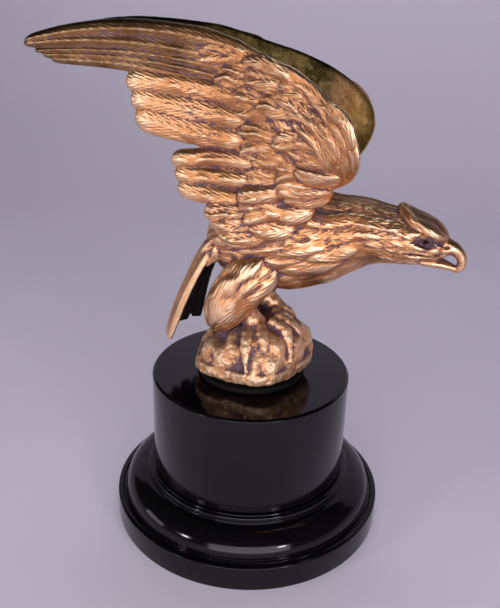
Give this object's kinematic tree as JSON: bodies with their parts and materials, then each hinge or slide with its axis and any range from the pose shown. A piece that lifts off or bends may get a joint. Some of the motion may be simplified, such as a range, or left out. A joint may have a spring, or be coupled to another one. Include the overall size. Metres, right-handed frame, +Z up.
{
  "type": "eagle hood ornament",
  "caption": "Cast bronze eagle hood ornament with raised swept-back wings, perched on a cast rock, standing on a round black turned display stand.",
  "frame": {"origin": "centre of the stand's round underside, which is the stand's turning axis at table level", "axes": "+Z up along the stand's turning axis, +X the way the eagle heads, +Y the eagle's left"},
  "size_m": [0.1607, 0.11, 0.1953],
  "materials": {
    "bronze": "cast and hand-rubbed bronze, dark brown patina in the recesses",
    "washer": "matt black washer",
    "stand": "polished black"
  },
  "bodies": {
    "root": {"eagle_casting": "bronze", "mounting_washer": "washer", "stand_drum": "stand", "stand_foot": "stand"}
  },
  "joints": []
}
